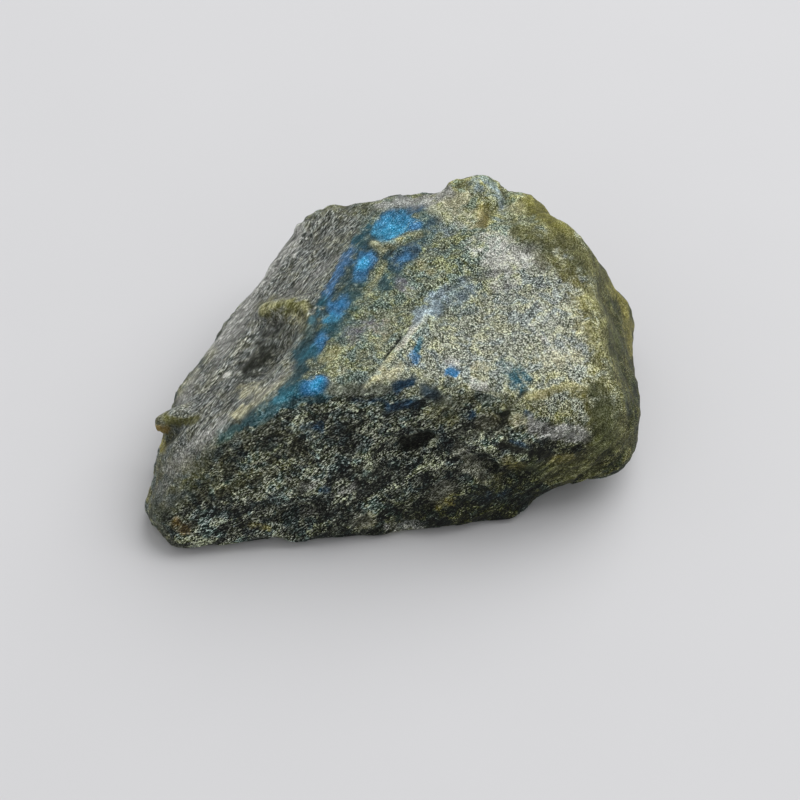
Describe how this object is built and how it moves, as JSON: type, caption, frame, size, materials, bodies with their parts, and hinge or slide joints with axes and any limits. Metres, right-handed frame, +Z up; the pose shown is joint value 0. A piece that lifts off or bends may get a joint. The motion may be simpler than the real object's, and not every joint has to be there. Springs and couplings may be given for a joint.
{
  "type": "rough labradorite chunk",
  "caption": "Rough chunk of blue-flashing labradorite with cleavage and fracture faces, lying on a flat broken face.",
  "frame": {"origin": "middle of the stone's outline, on the surface that it rests on", "axes": "+X along the stone's length to its steep end, +Y to its back, +Z up"},
  "size_m": [0.063, 0.0468, 0.0231],
  "materials": {
    "labradorite": "rough broken and cleaved surface, satin on the cleavage faces, with blue labradorescence"
  },
  "bodies": {
    "root": {"labradorite_chunk": "labradorite"}
  },
  "joints": []
}
